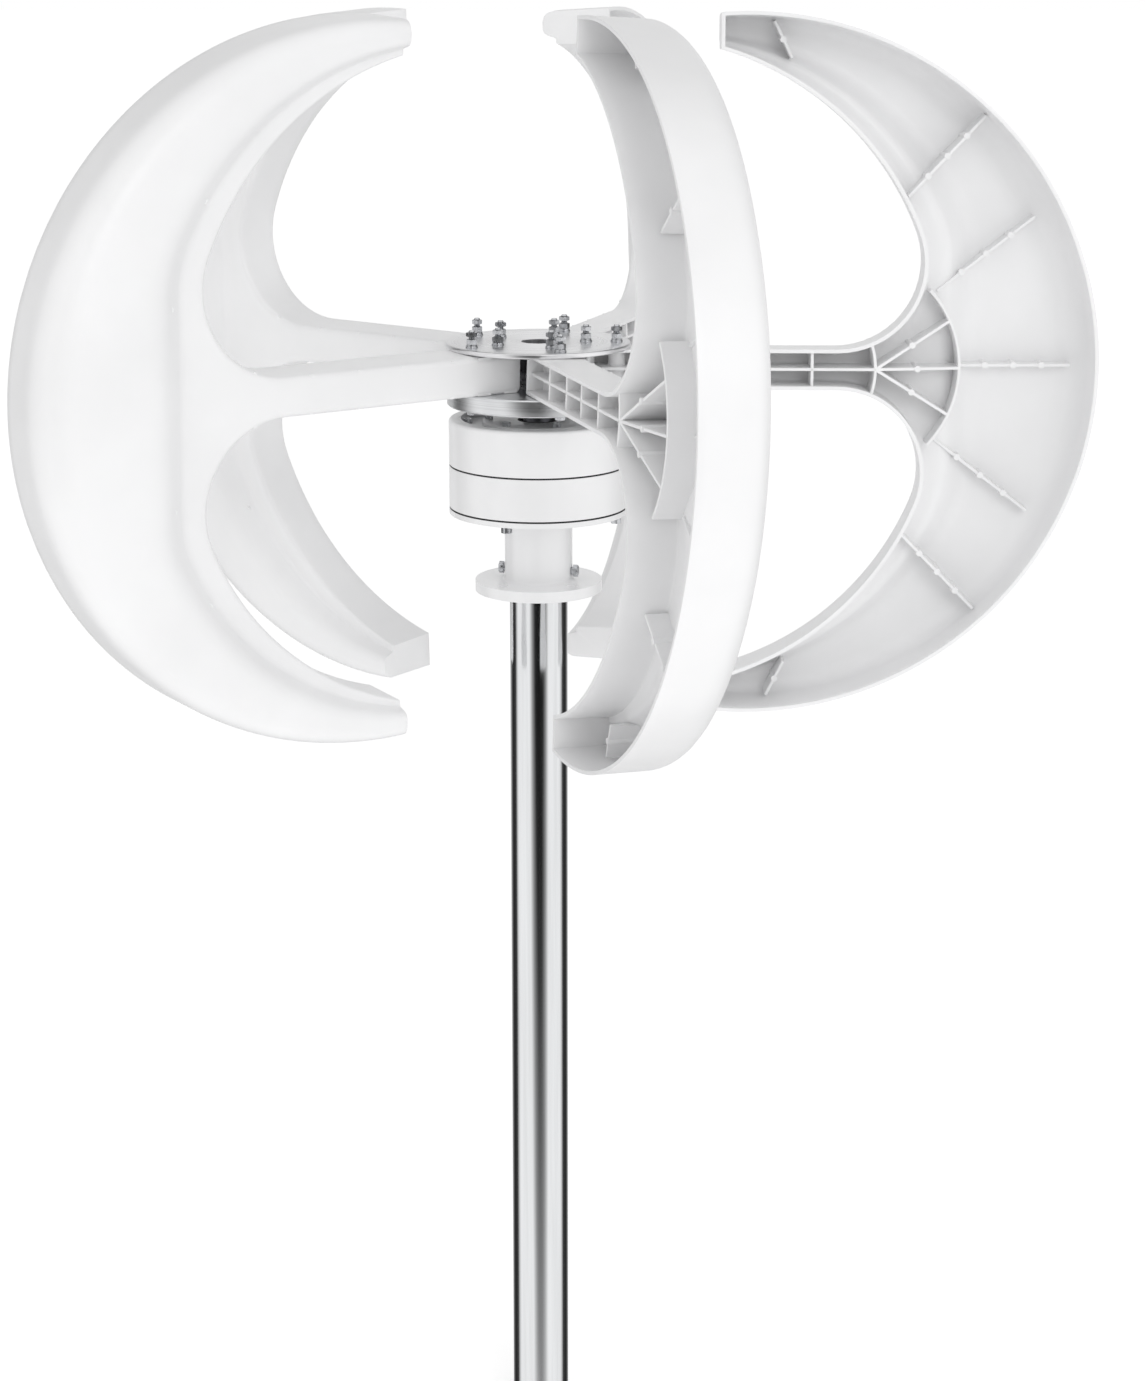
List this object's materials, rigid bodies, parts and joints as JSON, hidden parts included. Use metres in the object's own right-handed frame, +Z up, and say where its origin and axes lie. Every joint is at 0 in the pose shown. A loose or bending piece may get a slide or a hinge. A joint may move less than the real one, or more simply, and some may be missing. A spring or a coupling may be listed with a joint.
{
  "type": "vertical axis wind turbine",
  "caption": "Vertical axis wind turbine: hollow C-shaped blades on short arms between two hub plates, above a round generator on a steel tube mast.",
  "frame": {"origin": "centre of the mast's foot, on the turbine's axis", "axes": "+Z up along the mast and shaft, +X along the arm of blade 1"},
  "size_m": [0.8363, 0.8755, 1.2211],
  "materials": {
    "polished_steel": "polished stainless tube",
    "white_enamel": "smooth white enamel on a casting",
    "dark_rubber": "soft black rubber",
    "turned_aluminium": "turned, fine circular tool marks",
    "plated_plate": "bright zinc plate",
    "dark_steel": "dark oiled steel",
    "zinc_fasteners": "bright zinc fasteners",
    "bearing_steel": "ground bearing steel",
    "cage_brass": "stamped brass",
    "laminated_iron": "stacked sheets",
    "copper_winding": "enamelled copper wire",
    "nickel_magnet": "nickel plated",
    "white_nylon": "moulded white nylon, satin gloss"
  },
  "bodies": {
    "stand": {"mast_tube": "polished_steel", "base_casting": "white_enamel", "mast_set_screws": "zinc_fasteners", "cable_grommet": "dark_rubber", "lower_gasket": "dark_rubber", "lower_housing": "white_enamel", "upper_gasket": "dark_rubber", "upper_housing": "white_enamel", "top_cover": "white_enamel", "top_cover_screws": "zinc_fasteners", "bearing_cover": "white_enamel", "bearing_cover_screws": "zinc_fasteners", "shaft_seal": "dark_rubber", "housing_bolts": "zinc_fasteners", "stator_core": "laminated_iron", "stator_coils": "copper_winding", "lower_outer_race": "bearing_steel", "upper_outer_race": "bearing_steel"},
    "rotor": {"shaft": "dark_steel", "shaft_circlip": "dark_steel", "magnet_yoke": "laminated_iron", "rotor_magnets": "nickel_magnet", "yoke_key": "dark_steel", "disc_key": "dark_steel", "lower_inner_race": "bearing_steel", "upper_inner_race": "bearing_steel", "lower_disc": "turned_aluminium", "hub_washer": "zinc_fasteners", "hub_nut": "zinc_fasteners", "hub_sleeve": "dark_steel", "top_plate": "plated_plate", "hub_bolts": "zinc_fasteners", "hub_flat_washers": "zinc_fasteners", "hub_spring_washers": "zinc_fasteners", "hub_nuts": "zinc_fasteners", "hub_lock_nuts": "zinc_fasteners", "blade_1": "white_nylon", "blade_2": "white_nylon", "blade_3": "white_nylon", "blade_4": "white_nylon", "blade_5": "white_nylon"},
    "ball_sets": {"lower_balls": "bearing_steel", "upper_balls": "bearing_steel", "lower_cage": "cage_brass", "upper_cage": "cage_brass"}
  },
  "joints": [
    {"name": "rotor_spin", "type": "hinge", "parent": "stand", "child": "rotor", "pos_m": [0, 0, 0.85], "axis": [0, 0, 1], "continuous": true},
    {"name": "ball_roll", "type": "hinge", "parent": "stand", "child": "ball_sets", "pos_m": [0, 0, 0.85], "axis": [0, 0, 1], "continuous": true}
  ],
  "couplings": [
    {"joint": "ball_roll", "follows": "rotor_spin", "ratio": 0.4}
  ]
}
